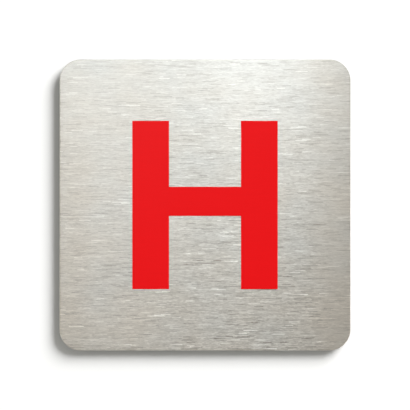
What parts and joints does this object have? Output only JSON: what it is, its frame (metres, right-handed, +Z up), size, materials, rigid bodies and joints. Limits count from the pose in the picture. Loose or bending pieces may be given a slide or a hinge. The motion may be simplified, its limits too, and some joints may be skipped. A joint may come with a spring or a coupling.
{
  "type": "hydrant sign",
  "caption": "Small square stick-on wall sign: a brushed steel plate with rounded corners, a flat red letter H on its face and a foam tape pad behind.",
  "frame": {"origin": "middle of the foam pad's back, the face that sticks to the wall", "axes": "+Z up, +Y into the wall, the letter faces -Y, +X to the right as the letter is read"},
  "size_m": [0.08, 0.0026, 0.08],
  "materials": {
    "brushed_plate": "satin",
    "red_film": "satin",
    "foam_tape": "matte"
  },
  "bodies": {
    "root": {"sign_plate": "brushed_plate", "letter_h": "red_film", "adhesive_pad": "foam_tape"}
  },
  "joints": []
}
